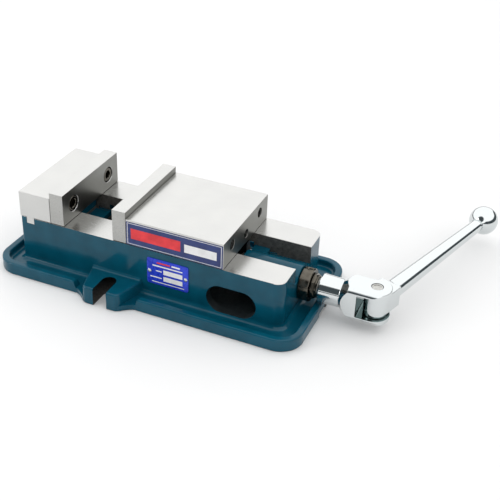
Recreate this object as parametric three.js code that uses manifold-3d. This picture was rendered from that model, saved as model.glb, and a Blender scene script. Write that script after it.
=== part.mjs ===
// Machine vise with a ground bed, a pull-down movable jaw and a folding crank handle.
// Millimetres, +Z up. X runs along the screw towards the handle. The origin lies on the
// resting face, under the middle of the fixed jaw's clamping face.
import * as THREE from 'three';
import { mergeVertices } from 'three/addons/utils/BufferGeometryUtils.js';
import Module from 'manifold-3d';

const wasm = await Module();
wasm.setup();

// Driving dimensions.
const jawWidth = 127;
const jawOpening = 65.6;
const bedTop = 67.5;
const screwHeight = 34;
const seatGap = 0.3;
const trimGap = 0.1;
const halfJaw = jawWidth / 2;

const flange = { left: -86.5, right: 305, half: 92, corner: 28, rim: 15.5, rimWidth: 9, floor: 7 };
const body = { left: -61, right: 277.5, leftCorner: 3, rightCorner: 11 };
const channel = { left: -10, half: 25, floor: 45 };
const cavity = { left: 10, right: 250, half: 52, floor: 10, roof: 55, shelfUnderside: 39 };
const boss = { left: 206, radius: 22, bore: 11.5, counterbore: 17.3, counterboreDepth: 14 };
const bush = { left: 240, right: 277, radius: 14, bore: 11.3 };
const endBush = { left: -32, right: 4, radius: 12, bore: 9.3 };
const lug = {
  centre: 69.3, wallHalf: 35, footHalf: 42.5, noseHalf: 23.5, noseCorner: 5, nose: 104.4, height: 22.5,
};
const slot = { radius: 8.75, end: 73 };
const sideWindow = { left: 185.5, right: 246.5, radius: 17, height: 27 };
const keyway = { half: 12, depth: 6, left: -46, right: 265 };

const plate = { fixedThickness: 18.3, movingThickness: 17.6, height: 40.9, screwSide: 40, screwHeight: 20.4 };
const fixedJaw = { left: -61, height: 33, tongueLeft: -52.4, tongueRight: -42.4, tongueDepth: 8.3 };
const jawBolt = { x: -32, side: 26, seat: 36.3, intoJaw: 22 };
const movingJaw = { rear: 140.4, height: 33, keelLeft: 24, keelRight: 128, keelHalf: 24.6, keelDepth: 11 };
const rearHole = { side: 39.5, height: 20, radius: 6, depth: 30 };
const adjuster = { height: 12.8, radius: 5, front: 64.5, rear: 126 };

const nut = { left: 22.4, right: 72.4, half: 23, bottom: -51.5, top: -17, bore: 12.3 };
const horn = { half: 10, top: 18, tip: 40, back: 64, slope: 38, clearance: 2.5 };
const segment = { radius: 8, pocket: 8.4, x: 46, z: -8 };

const screw = { thread: 12, tail: 9, tailLeft: -30, threadLeft: 6, shoulderLeft: 200, shoulder: 16 };
const journal = { radius: 11, left: 205.6, right: 299.5 };
const hexEnd = { flats: 19, right: 323 };
const washer = { radius: 16.8, bore: 11.4, thickness: 3 };
const cage = { radius: 16.4, bore: 11.8, thickness: 2.4, balls: 10, ball: 2.1, pitch: 14.1 };
const collar = { left: 277.9, right: 291, radius: 19.5, bore: 11.3, screwX: 285.5, screwTilt: 15 };
const setScrew = { hole: 3.3, radius: 3, low: 11.9, high: 18.6, socketFlats: 3, socketDepth: 3 };
const lockRing = { left: 291.3, step: 296, right: 298.4, radius: 15, nose: 13, bore: 11.3 };

const hub = {
  left: 301, neck: 17.3, neckEnd: 16.6, neckLength: 26.5, shoulderLength: 36, turned: 24.6,
  halfWidth: 18.8, halfHeight: 21, socketFlats: 19.7, socketDepth: 25, end: 81.5,
};
const fork = { left: 47.5, halfGap: 14.4, pinX: 64.5, pinBore: 6.7 };
const pin = { radius: 6.4, halfLength: 20.8 };
const lever = {
  angle: 73, eye: 15, halfHeight: 13.9, tangHalf: 14.4, tangLength: 30,
  rodStart: 34, rootRadius: 11, tipRadius: 8, rodEnd: 231, spigot: 5, spigotEnd: 246,
};
const ball = { radius: 18.3, centre: 246.5, bore: 5.3, boreEnd: 248 };

const nameplate = { x: 137, z: 41, width: 53, height: 34.5, corner: 2.5, thickness: 0.8 };
const rivet = { inset: 3.4, radius: 1.5, head: 2.4, headHeight: 0.9, length: 3.5 };
const rivetOffset = nameplate.width / 2 - rivet.inset;
const decal = { left: 18.6, right: 139.6, bottom: 1, top: 30.5, thickness: 0.25 };

const capScrew = { head: 9, headLength: 12, shank: 6, reach: 32, socketFlats: 10, socketDepth: 6 };
const headRecess = { radius: 10, depth: 12.6 };
const tappedHole = { radius: 6.3, depth: 22.5 };
const boltHead = { relief: 10.5 };

const fine = 32;
const coarse = 16;

// Geometry helpers.
const alongX = new THREE.Vector3(1, 0, 0);
const alongY = new THREE.Vector3(0, 1, 0);
const alongZ = new THREE.Vector3(0, 0, 1);
const outlinePlane = {
  x: new THREE.Matrix4().makeBasis(alongY, alongZ, alongX),
  y: new THREE.Matrix4().makeBasis(alongX, alongZ, alongY.clone().negate()),
  z: new THREE.Matrix4(),
};

// A closed geometry as a solid that can be joined and cut.
function solid(geometry) {
  const bare = geometry.clone();
  bare.deleteAttribute('normal');
  bare.deleteAttribute('uv');
  const merged = mergeVertices(bare, 1e-4);
  const corners = merged.index.array;
  const kept = [];
  for (let i = 0; i < corners.length; i += 3) {
    const [a, b, c] = corners.slice(i, i + 3);
    if (a !== b && b !== c && c !== a) kept.push(a, b, c);
  }
  const vertProperties = Float32Array.from(merged.attributes.position.array);
  return new wasm.Manifold(new wasm.Mesh({ numProp: 3, vertProperties, triVerts: Uint32Array.from(kept) }));
}

// An outline extruded from low to high along an axis.
function prism(outline, axis, low, high, curveSegments = 3) {
  const settings = { depth: high - low, bevelEnabled: false, curveSegments };
  const geometry = new THREE.ExtrudeGeometry(outline, settings);
  geometry.translate(0, 0, axis === 'y' ? -high : low);
  geometry.applyMatrix4(outlinePlane[axis]);
  return solid(geometry);
}

function block(x, y, z) {
  const geometry = new THREE.BoxGeometry(x[1] - x[0], y[1] - y[0], z[1] - z[0]);
  geometry.translate((x[0] + x[1]) / 2, (y[0] + y[1]) / 2, (z[0] + z[1]) / 2);
  return solid(geometry);
}

// A round bar along an axis; its centre is given in the other two coordinates.
function bar(axis, radius, low, high, centre = [0, 0], steps = fine) {
  const outline = new THREE.Shape();
  outline.absarc(centre[0], centre[1], radius, 0, 2 * Math.PI, false);
  return prism(outline, axis, low, high, steps / 2);
}

// A hexagonal bar along X.
function hexBar(flats, low, high) {
  const outline = new THREE.Shape();
  const corner = flats / Math.sqrt(3);
  for (let i = 0; i < 6; i += 1) {
    const angle = (i * Math.PI) / 3;
    const point = [corner * Math.cos(angle), corner * Math.sin(angle)];
    if (i === 0) outline.moveTo(...point);
    else outline.lineTo(...point);
  }
  outline.closePath();
  return prism(outline, 'x', low, high);
}

// A profile of [x, radius] points turned about X.
function turned(profile, steps = fine) {
  const points = profile.map(([x, radius]) => new THREE.Vector2(radius, x));
  const geometry = new THREE.LatheGeometry(points, steps);
  geometry.rotateZ(-Math.PI / 2);
  return solid(geometry);
}

function polygon(points) {
  return new THREE.Shape(points.map(([u, v]) => new THREE.Vector2(u, v)));
}

function roundedRectangle(left, right, low, high, leftRadius, rightRadius = leftRadius) {
  const outline = new THREE.Shape();
  const quarter = Math.PI / 2;
  outline.absarc(right - rightRadius, high - rightRadius, rightRadius, 0, quarter, false);
  outline.absarc(left + leftRadius, high - leftRadius, leftRadius, quarter, 2 * quarter, false);
  outline.absarc(left + leftRadius, low + leftRadius, leftRadius, 2 * quarter, 3 * quarter, false);
  outline.absarc(right - rightRadius, low + rightRadius, rightRadius, 3 * quarter, 4 * quarter, false);
  outline.closePath();
  return outline;
}

function tube(axis, radius, bore, low, high, centre = [0, 0], steps = fine) {
  const past = 1;
  return bar(axis, radius, low, high, centre, steps)
    .subtract(bar(axis, bore, low - past, high + past, centre, steps));
}

// Finishes.
const paint = { color: 0x1f5468, roughness: 0.28, metalness: 0.1 };
const groundSteel = { color: 0xb9bab4, roughness: 0.35, metalness: 0.9 };
const plainSteel = { color: 0x8a8b88, roughness: 0.45, metalness: 0.9 };
const chrome = { color: 0xdfe3e4, roughness: 0.12, metalness: 1 };
const blackOxide = { color: 0x1c1a18, roughness: 0.4, metalness: 0.7 };
const bronze = { color: 0xa9793f, roughness: 0.45, metalness: 0.9 };
const castNut = { color: 0x4a4a48, roughness: 0.6, metalness: 0.6 };
const printedBlue = { color: 0x2b3a9a, roughness: 0.35, metalness: 0.2 };
const printedNavy = { color: 0x1c2c66, roughness: 0.4, metalness: 0.0 };
const aluminium = { color: 0xc9cbd0, roughness: 0.35, metalness: 0.9 };

function named(name, manifold, finish) {
  const { vertProperties, triVerts } = manifold.getMesh();
  const geometry = new THREE.BufferGeometry();
  geometry.setAttribute('position', new THREE.BufferAttribute(vertProperties, 3));
  geometry.setIndex(new THREE.BufferAttribute(triVerts, 1));
  geometry.computeVertexNormals();
  const mesh = new THREE.Mesh(geometry, new THREE.MeshStandardMaterial(finish));
  mesh.name = name;
  return mesh;
}

// Base casting.
function lugOutline(side) {
  const { centre, wallHalf, noseHalf, noseCorner } = lug;
  const wall = side * (halfJaw - 4);
  const nose = side * lug.nose;
  const start = side * (lug.nose - noseCorner);
  const outline = new THREE.Shape();
  outline.moveTo(centre - wallHalf, wall);
  outline.lineTo(centre - noseHalf - 1, start);
  outline.quadraticCurveTo(centre - noseHalf, nose, centre - noseHalf + noseCorner, nose);
  outline.lineTo(centre + noseHalf - noseCorner, nose);
  outline.quadraticCurveTo(centre + noseHalf, nose, centre + noseHalf + 1, start);
  outline.lineTo(centre + wallHalf, wall);
  outline.closePath();
  return outline;
}

// The flange's floor runs out round each lug, with no rim.
function footOutline(side) {
  const { centre, footHalf, wallHalf, noseHalf } = lug;
  const nose = side * (lug.nose - 2);
  const edge = side * (flange.half - 1);
  const outline = new THREE.Shape();
  outline.moveTo(centre - footHalf, edge);
  outline.quadraticCurveTo(centre - wallHalf, edge, centre - noseHalf, nose);
  outline.lineTo(centre + noseHalf, nose);
  outline.quadraticCurveTo(centre + wallHalf, edge, centre + footHalf, edge);
  outline.closePath();
  return outline;
}

function slotOutline(side) {
  const outline = new THREE.Shape();
  const past = side * (lug.nose + 5);
  const centre = side * (slot.end + slot.radius);
  outline.moveTo(lug.centre - slot.radius, past);
  outline.lineTo(lug.centre - slot.radius, centre);
  outline.absarc(lug.centre, centre, slot.radius, Math.PI, side > 0 ? 2 * Math.PI : 0, side < 0);
  outline.lineTo(lug.centre + slot.radius, past);
  outline.closePath();
  return outline;
}

function baseCasting() {
  const { left, right, half, corner, rim, rimWidth, floor } = flange;
  const above = bedTop + 5;
  const inner = corner - rimWidth;
  const bedOutline = roundedRectangle(body.left, body.right, -halfJaw, halfJaw, body.leftCorner, body.rightCorner);
  const trayOutline = roundedRectangle(
    left + rimWidth, right - rimWidth, -half + rimWidth, half - rimWidth, inner,
  );
  const rimGap = block(
    [lug.centre - lug.footHalf, lug.centre + lug.footHalf], [-half - 1, half + 1], [floor, above],
  );
  let casting = prism(roundedRectangle(left, right, -half, half, corner), 'z', 0, rim)
    .subtract(prism(trayOutline, 'z', floor, above))
    .subtract(rimGap)
    .add(prism(bedOutline, 'z', 0, bedTop));
  for (const side of [-1, 1]) {
    casting = casting
      .add(prism(lugOutline(side), 'z', 0, lug.height))
      .add(prism(footOutline(side), 'z', 0, floor))
      .subtract(prism(slotOutline(side), 'z', -1, lug.height + 1));
  }

  // Channel between the rails, the hollow under them, and the bearing boss on its shelf at the handle end.
  const past = body.right + 5;
  casting = casting
    .subtract(block([channel.left, past], [-channel.half, channel.half], [channel.floor, above]))
    .subtract(block(
      [cavity.left, cavity.right], [-cavity.half, cavity.half], [cavity.floor, cavity.shelfUnderside],
    ))
    .subtract(block([cavity.left, boss.left], [-cavity.half, cavity.half], [cavity.floor, cavity.roof]))
    .add(bar('x', boss.radius, boss.left, body.right, [0, screwHeight]))
    .subtract(bar('x', boss.bore, boss.left - 1, past, [0, screwHeight]))
    .subtract(bar('x', boss.counterbore, boss.left - 1, boss.left + boss.counterboreDepth, [0, screwHeight]))
    .subtract(bar('x', bush.radius + seatGap, bush.left - seatGap, past, [0, screwHeight]))
    .subtract(bar('x', endBush.radius + seatGap, endBush.left - seatGap, cavity.left + 1, [0, screwHeight]));

  // Side windows, the seat of the fixed jaw, its bolt holes and the end keyways.
  const { radius, height } = sideWindow;
  const windowOutline = roundedRectangle(
    sideWindow.left, sideWindow.right, height - radius, height + radius, radius - 0.01,
  );
  const tongueSeat = block(
    [fixedJaw.tongueLeft - seatGap, fixedJaw.tongueRight + seatGap],
    [-halfJaw - 1, halfJaw + 1],
    [bedTop - fixedJaw.tongueDepth - seatGap, above],
  );
  casting = casting
    .subtract(prism(windowOutline, 'y', -halfJaw - 1, -cavity.half + 1))
    .subtract(prism(windowOutline, 'y', cavity.half - 1, halfJaw + 1))
    .subtract(tongueSeat)
    .subtract(block([left - 1, keyway.left], [-keyway.half, keyway.half], [-1, keyway.depth]))
    .subtract(block([keyway.right, right + 1], [-keyway.half, keyway.half], [-1, keyway.depth]));
  for (const side of [-1, 1]) {
    const centre = [jawBolt.x, side * jawBolt.side];
    casting = casting
      .subtract(bar('z', tappedHole.radius, -1, above, centre, coarse))
      .subtract(bar('z', boltHead.relief, -1, jawBolt.seat, centre, coarse));
  }
  for (const side of [-1, 1]) {
    const centre = [nameplate.x + side * rivetOffset, nameplate.z];
    const depth = rivet.length + seatGap;
    casting = casting.subtract(
      bar('y', rivet.radius + trimGap, -halfJaw - 1, -halfJaw + depth, centre, coarse),
    );
  }
  return casting;
}

// Fixed jaw: a ground block whose tongue sits in the casting.
function fixedJawBlock() {
  const face = -plate.fixedThickness - seatGap;
  let jaw = block([fixedJaw.left, face], [-halfJaw, halfJaw], [bedTop + seatGap, bedTop + fixedJaw.height])
    .add(block(
      [fixedJaw.tongueLeft, fixedJaw.tongueRight],
      [-halfJaw, halfJaw],
      [bedTop - fixedJaw.tongueDepth, bedTop + 1],
    ));
  for (const side of [-1, 1]) {
    const plateScrew = [side * plate.screwSide, bedTop + plate.screwHeight];
    jaw = jaw
      .subtract(bar('x', tappedHole.radius, face - tappedHole.depth, face + 1, plateScrew, coarse))
      .subtract(bar('z', tappedHole.radius, bedTop - 1, bedTop + jawBolt.intoJaw + 1,
        [jawBolt.x, side * jawBolt.side], coarse));
  }
  return jaw;
}

// A hardened jaw plate from its clamping face at x = 0 back to its thickness.
function jawPlate(thickness) {
  let shape = block([0, thickness], [-halfJaw, halfJaw], [seatGap, plate.height]);
  for (const side of [-1, 1]) {
    const centre = [side * plate.screwSide, plate.screwHeight];
    shape = shape
      .subtract(bar('x', headRecess.radius, -1, headRecess.depth, centre, fine))
      .subtract(bar('x', tappedHole.radius, 0, thickness + 1, centre, coarse));
  }
  return shape;
}

// A socket-head screw along +X, its head's face at x = 0.
function socketScrew(reach) {
  return bar('x', capScrew.head, 0, capScrew.headLength, [0, 0], fine)
    .add(bar('x', capScrew.shank, capScrew.headLength - 1, reach, [0, 0], coarse))
    .subtract(hexBar(capScrew.socketFlats, -1, capScrew.socketDepth));
}

// Movable jaw: a ground block with a keel between the rails, hollowed for the nut's horn.
function movingJawBlock() {
  const face = plate.movingThickness + seatGap;
  const { tip, back, half, top, clearance } = horn;
  const keelHalf = movingJaw.keelHalf;
  let jaw = block([face, movingJaw.rear], [-halfJaw, halfJaw], [seatGap, movingJaw.height])
    .add(block([movingJaw.keelLeft, movingJaw.keelRight], [-keelHalf, keelHalf], [-movingJaw.keelDepth, 1]))
    .subtract(block(
      [tip - clearance, back + clearance],
      [-half - clearance, half + clearance],
      [-movingJaw.keelDepth - 1, top + clearance],
    ))
    .subtract(solid(new THREE.SphereGeometry(segment.pocket, coarse, coarse / 2)
      .translate(segment.x, 0, segment.z)))
    .subtract(bar('x', adjuster.radius + seatGap, back, movingJaw.rear + 1, [0, adjuster.height], coarse));
  for (const side of [-1, 1]) {
    const plateScrew = [side * plate.screwSide, plate.screwHeight];
    const hole = [side * rearHole.side, rearHole.height];
    const past = movingJaw.rear + 1;
    jaw = jaw
      .subtract(bar('x', tappedHole.radius, face - 1, face + tappedHole.depth, plateScrew, coarse))
      .subtract(bar('x', rearHole.radius, movingJaw.rear - rearHole.depth, past, hole, coarse));
  }
  return jaw;
}

// Nut: a block on the screw with a horn whose sloping face pulls the jaw forward and down.
function nutBlock() {
  const { tip, back, top, slope, half } = horn;
  const root = nut.top - 1;
  const hornOutline = polygon([
    [slope - root, root], [tip, slope - tip], [tip, top], [back, top], [back, root],
  ]);
  return block([nut.left, nut.right], [-nut.half, nut.half], [nut.bottom, nut.top])
    .add(prism(hornOutline, 'y', -half, half))
    .subtract(bar('x', nut.bore, nut.left - 1, nut.right + 1, [0, screwHeight - bedTop]));
}

// Half ball between the nut's horn and its pocket in the jaw, flat side towards +Y.
function lockSegment() {
  const points = [];
  const steps = 8;
  for (let i = 0; i <= steps; i += 1) {
    const angle = -Math.PI / 2 + (i / steps) * (Math.PI / 2);
    points.push(new THREE.Vector2(segment.radius * Math.cos(angle), segment.radius * Math.sin(angle)));
  }
  points[0].x = 0;
  points[steps].y = 0;
  points.push(new THREE.Vector2(0, 0));
  return solid(new THREE.LatheGeometry(points, coarse));
}

function adjustingScrew() {
  return bar('x', adjuster.radius, adjuster.front, adjuster.rear, [0, 0], coarse)
    .subtract(hexBar(adjuster.radius, adjuster.rear - adjuster.radius, adjuster.rear + 1));
}

// Lead screw with its tail, thrust shoulder, journal and hexagonal driving end.
function leadScrew() {
  const { thread, tail, tailLeft, threadLeft, shoulderLeft, shoulder } = screw;
  return turned([
    [tailLeft, 0], [tailLeft, tail - 1], [tailLeft + 1, tail], [threadLeft, tail], [threadLeft, thread],
    [shoulderLeft, thread], [shoulderLeft, shoulder], [journal.left, shoulder],
    [journal.left, journal.radius], [journal.right, journal.radius], [journal.right, 0],
  ]).add(hexBar(hexEnd.flats, journal.right - 1, hexEnd.right));
}

// Ball cage of the thrust bearing, with its balls held in the ring.
function ballCage() {
  let ring = tube('x', cage.radius, cage.bore, -cage.thickness / 2, cage.thickness / 2);
  for (let i = 0; i < cage.balls; i += 1) {
    const angle = (i * 2 * Math.PI) / cage.balls;
    const bead = new THREE.SphereGeometry(cage.ball, 8, 4);
    bead.translate(0, cage.pitch * Math.cos(angle), cage.pitch * Math.sin(angle));
    ring = ring.add(solid(bead));
  }
  return ring;
}

function screwCollar() {
  const hole = bar('z', setScrew.hole, 0, collar.radius + 2, [0, 0], coarse);
  return tube('x', collar.radius, collar.bore, -collar.screwX + collar.left, collar.right - collar.screwX)
    .subtract(hole);
}

// Set screw along Z, seen from the collar's centre.
function collarSetScrew() {
  const { radius, low, high, socketFlats, socketDepth } = setScrew;
  const socket = bar('z', socketFlats / 2, high - socketDepth, high + 1, [0, 0], 12);
  return bar('z', radius, low, high, [0, 0], coarse).subtract(socket);
}

function stepRing() {
  const { left, step, right, radius, nose, bore } = lockRing;
  return tube('x', radius, bore, left, step).add(tube('x', nose, bore, step - 1, right));
}

// Handle hub: a turned neck over the screw's hexagon, opening into a fork for the lever.
function handleHub() {
  const { neck, neckEnd, neckLength, shoulderLength, turned: big, halfWidth, halfHeight, end } = hub;
  const plan = new THREE.Shape();
  plan.moveTo(-1, -halfWidth);
  plan.lineTo(end - halfWidth, -halfWidth);
  plan.absarc(end - halfWidth, 0, halfWidth, -Math.PI / 2, Math.PI / 2, false);
  plan.lineTo(-1, halfWidth);
  plan.closePath();
  return turned([
    [0, 0], [0, neck - 1], [1, neck], [neckLength, neckEnd], [shoulderLength, big], [end, big], [end, 0],
  ])
    .intersect(prism(plan, 'z', -halfHeight, halfHeight, fine / 2))
    .subtract(block([fork.left, end + 1], [-halfWidth - 1, halfWidth + 1], [-fork.halfGap, fork.halfGap]))
    .subtract(bar('z', fork.pinBore, -halfHeight - 1, halfHeight + 1, [fork.pinX, 0], coarse))
    .subtract(hexBar(hub.socketFlats, -1, hub.socketDepth));
}

// Lever from its eye at the pin, along +X to the spigot inside the ball.
function handleLever() {
  const { eye, halfHeight, tangHalf, tangLength, rodStart } = lever;
  const rod = turned([
    [tangLength - 10, 0], [tangLength - 10, lever.rootRadius + 1], [tangLength, lever.rootRadius + 1],
    [rodStart, lever.rootRadius], [lever.rodEnd, lever.tipRadius], [lever.rodEnd, lever.spigot],
    [lever.spigotEnd, lever.spigot], [lever.spigotEnd, 0],
  ], coarse);
  return bar('z', eye, -halfHeight, halfHeight)
    .add(block([0, tangLength], [-tangHalf, tangHalf], [-halfHeight + 1, halfHeight - 1]))
    .add(rod)
    .subtract(bar('z', fork.pinBore, -halfHeight - 1, halfHeight + 1, [0, 0], coarse));
}

function ballKnob() {
  const sphere = solid(new THREE.SphereGeometry(ball.radius, fine, coarse));
  const start = -ball.radius - 1;
  return sphere
    .subtract(bar('x', ball.bore, start, ball.boreEnd - ball.centre, [0, 0], coarse))
    .subtract(block([start, lever.rodEnd + seatGap - ball.centre], [-9, 9], [-9, 9]));
}

function blindRivet() {
  return bar('y', rivet.head, -rivet.headHeight, 0, [0, 0], coarse)
    .add(bar('y', rivet.radius, -rivet.headHeight / 2, rivet.length, [0, 0], coarse));
}

// Assembly.
const vise = new THREE.Group();
const screwLine = new THREE.Group();
const movingGroup = new THREE.Group();
const hubGroup = new THREE.Group();
const leverGroup = new THREE.Group();
vise.add(screwLine, movingGroup);
screwLine.add(hubGroup);
hubGroup.add(leverGroup);
screwLine.position.z = screwHeight;
movingGroup.position.set(jawOpening, 0, bedTop);
hubGroup.position.x = hub.left;
leverGroup.position.x = fork.pinX;
leverGroup.rotation.z = THREE.MathUtils.degToRad(lever.angle);

vise.add(named('base_casting', baseCasting(), paint));
vise.add(named('fixed_jaw', fixedJawBlock(), groundSteel));

const fixedPlate = named('fixed_jaw_plate', jawPlate(plate.fixedThickness), groundSteel);
fixedPlate.position.z = bedTop;
fixedPlate.rotation.z = Math.PI;
vise.add(fixedPlate);
movingGroup.add(named('movable_jaw_plate', jawPlate(plate.movingThickness), groundSteel));
movingGroup.add(named('movable_jaw', movingJawBlock(), groundSteel));
movingGroup.add(named('jaw_nut', nutBlock(), castNut));

const screwSides = [['front', -1], ['rear', 1]];
for (const [where, side] of screwSides) {
  const recessed = 0.5;
  const fixedScrew = named(`fixed_plate_screw_${where}`, socketScrew(capScrew.reach), blackOxide);
  fixedScrew.position.set(-recessed, side * plate.screwSide, bedTop + plate.screwHeight);
  fixedScrew.rotation.z = Math.PI;
  vise.add(fixedScrew);

  const movingScrew = named(`movable_plate_screw_${where}`, socketScrew(capScrew.reach), blackOxide);
  movingScrew.position.set(recessed, side * plate.screwSide, plate.screwHeight);
  movingGroup.add(movingScrew);

  const headTop = jawBolt.seat - seatGap;
  const boltReach = bedTop + jawBolt.intoJaw - headTop + capScrew.headLength;
  const bolt = named(`fixed_jaw_bolt_${where}`, socketScrew(boltReach), blackOxide);
  bolt.position.set(jawBolt.x, side * jawBolt.side, headTop - capScrew.headLength);
  bolt.rotation.y = -Math.PI / 2;
  vise.add(bolt);
}

const half = named('lock_segment', lockSegment(), plainSteel);
const faceNormal = new THREE.Vector3(1, 0, 1).normalize();
half.position.set(segment.x, 0, segment.z).addScaledVector(faceNormal, -seatGap);
half.quaternion.setFromUnitVectors(alongY, faceNormal);
movingGroup.add(half);

const adjusting = named('jaw_adjusting_screw', adjustingScrew(), blackOxide);
adjusting.position.z = adjuster.height;
movingGroup.add(adjusting);

// Screw line: the screw, its bearings and the collar that holds it in the boss.
screwLine.add(named('lead_screw', leadScrew(), plainSteel));
const bearingSpace = (boss.counterboreDepth - 2 * washer.thickness) / 2;
const washers = [
  ['thrust_washer_inner', journal.left + seatGap],
  ['thrust_washer_outer', boss.left + boss.counterboreDepth - seatGap - washer.thickness],
];
for (const [name, left] of washers) {
  screwLine.add(named(
    name, tube('x', washer.radius, washer.bore, left, left + washer.thickness), plainSteel,
  ));
}
const balls = named('thrust_ball_cage', ballCage(), bronze);
balls.position.x = boss.left + washer.thickness + bearingSpace;
screwLine.add(balls);
screwLine.add(named('screw_bush', tube('x', bush.radius, bush.bore, bush.left, bush.right), bronze));
screwLine.add(named(
  'screw_end_bush', tube('x', endBush.radius, endBush.bore, endBush.left, endBush.right), bronze,
));

const collarGroup = new THREE.Group();
collarGroup.position.x = collar.screwX;
collarGroup.rotation.x = -THREE.MathUtils.degToRad(collar.screwTilt);
collarGroup.add(named('screw_collar', screwCollar(), blackOxide));
collarGroup.add(named('collar_set_screw', collarSetScrew(), blackOxide));
screwLine.add(collarGroup);
screwLine.add(named('lock_ring', stepRing(), blackOxide));

// Folding handle.
hubGroup.add(named('handle_hub', handleHub(), chrome));
const pivot = named('fork_pin', bar('z', pin.radius, -pin.halfLength, pin.halfLength), plainSteel);
pivot.position.x = fork.pinX;
hubGroup.add(pivot);
leverGroup.add(named('handle_lever', handleLever(), chrome));
const knob = named('ball_knob', ballKnob(), chrome);
knob.position.x = ball.centre;
leverGroup.add(knob);

// Trim on the front side.
const plateOutline = roundedRectangle(
  -nameplate.width / 2, nameplate.width / 2, -nameplate.height / 2, nameplate.height / 2, nameplate.corner,
);
let label = prism(plateOutline, 'y', -nameplate.thickness, 0);
for (const x of [-rivetOffset, rivetOffset]) {
  label = label.subtract(bar('y', rivet.radius + trimGap, -2, 2, [x, 0], coarse));
}
const wall = -halfJaw - trimGap;
const labelMesh = named('nameplate', label, printedBlue);
labelMesh.position.set(nameplate.x, wall, nameplate.z);
vise.add(labelMesh);
for (const [where, x] of [['left', -rivetOffset], ['right', rivetOffset]]) {
  const fixing = named(`nameplate_rivet_${where}`, blindRivet(), aluminium);
  fixing.position.set(nameplate.x + x, wall - nameplate.thickness - trimGap, nameplate.z);
  vise.add(fixing);
}
const decalFront = -halfJaw - trimGap;
movingGroup.add(named('side_decal', block(
  [decal.left, decal.right], [decalFront - decal.thickness, decalFront], [decal.bottom, decal.top],
), printedNavy));

export default vise;
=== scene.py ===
import math

import bpy
from mathutils import Matrix, Vector


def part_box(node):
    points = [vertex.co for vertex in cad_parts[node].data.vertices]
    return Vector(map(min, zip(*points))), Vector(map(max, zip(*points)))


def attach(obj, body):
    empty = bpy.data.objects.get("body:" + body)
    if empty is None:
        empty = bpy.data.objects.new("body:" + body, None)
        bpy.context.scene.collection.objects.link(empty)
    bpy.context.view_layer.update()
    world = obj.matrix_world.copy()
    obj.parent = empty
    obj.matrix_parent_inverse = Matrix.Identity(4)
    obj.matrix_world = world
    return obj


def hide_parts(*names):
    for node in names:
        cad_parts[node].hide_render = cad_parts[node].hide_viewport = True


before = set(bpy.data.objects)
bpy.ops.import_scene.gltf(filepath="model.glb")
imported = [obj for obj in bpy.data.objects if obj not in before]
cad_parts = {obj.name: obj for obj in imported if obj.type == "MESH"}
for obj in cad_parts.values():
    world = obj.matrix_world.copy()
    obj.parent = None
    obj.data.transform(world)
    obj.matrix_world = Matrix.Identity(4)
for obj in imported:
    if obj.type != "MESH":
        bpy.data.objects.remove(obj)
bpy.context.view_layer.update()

# Machine vise: the castings, jaws, screw and handle are remodelled over the fixed frame.
# Lengths below are millimetres unless a line says otherwise.
mm = 0.001


def span(node):
    low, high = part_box(node)
    return [(low[i] / mm, high[i] / mm) for i in range(3)]


def middle(node):
    return [(low + high) / 2 for low, high in span(node)]


# Modelling tools
def deselectAll():
    if bpy.context.object is not None and bpy.context.object.mode != "OBJECT":
        bpy.ops.object.mode_set(mode="OBJECT")
    bpy.ops.object.select_all(action="DESELECT")


def activate(piece):
    deselectAll()
    piece.select_set(True)
    bpy.context.view_layer.objects.active = piece


def settle(piece, name=None):
    # place, turn and size go into the mesh
    activate(piece)
    bpy.ops.object.transform_apply(location=True, rotation=True, scale=True)
    if name:
        piece.name = piece.data.name = name
    return piece


def addBlock(name, x, y, z):
    deselectAll()
    centre = [sum(side) / 2 * mm for side in (x, y, z)]
    bpy.ops.mesh.primitive_cube_add(size=mm, location=centre)
    piece = bpy.context.object
    piece.scale = [side[1] - side[0] for side in (x, y, z)]
    return settle(piece, name)


# a rod is added along Z: its turn to each axis, and the order its three coordinates are then read in
turns = {"x": (0, math.pi / 2, 0), "y": (math.pi / 2, 0, 0), "z": (0, 0, 0)}
order = {"x": (2, 0, 1), "y": (0, 2, 1), "z": (0, 1, 2)}


def addRod(name, axis, radius, low, high, centre=(0, 0), sides=64):
    deselectAll()
    alongZ = (centre[0], centre[1], (low + high) / 2)
    spot = [alongZ[i] * mm for i in order[axis]]
    bpy.ops.mesh.primitive_cylinder_add(
        vertices=sides, radius=radius * mm, depth=(high - low) * mm, location=spot, rotation=turns[axis])
    return settle(bpy.context.object, name)


def select(piece, kind, test):
    # test gets the ends of an edge, or the middle and normal of a face, in mm
    activate(piece)
    bpy.ops.object.mode_set(mode="EDIT")
    bpy.ops.mesh.select_mode(type=kind)
    bpy.ops.mesh.select_all(action="DESELECT")
    bpy.ops.object.mode_set(mode="OBJECT")
    mesh = piece.data
    if kind == "EDGE":
        for edge in mesh.edges:
            a, b = [mesh.vertices[i].co / mm for i in edge.vertices]
            edge.select = bool(test(a, b))
    else:
        for face in mesh.polygons:
            face.select = bool(test(face.center / mm, face.normal))
    bpy.ops.object.mode_set(mode="EDIT")


def bevelEdges(piece, test, width, segments=3):
    select(piece, "EDGE", test)
    bpy.ops.mesh.bevel(offset=width * mm, segments=segments, profile=0.5, affect="EDGES", clamp_overlap=True)
    bpy.ops.object.mode_set(mode="OBJECT")


def upright(a, b):
    return abs(a.z - b.z) > 0.01 and (a - b).xy.length < 0.01


def anyEdge(a, b):
    return True


def combine(piece, tool, operation="DIFFERENCE"):
    activate(piece)
    step = piece.modifiers.new("combine", "BOOLEAN")
    step.operation = operation
    step.solver = "EXACT"
    step.object = tool
    bpy.ops.object.modifier_apply(modifier=step.name)
    bpy.data.objects.remove(tool)


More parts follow.
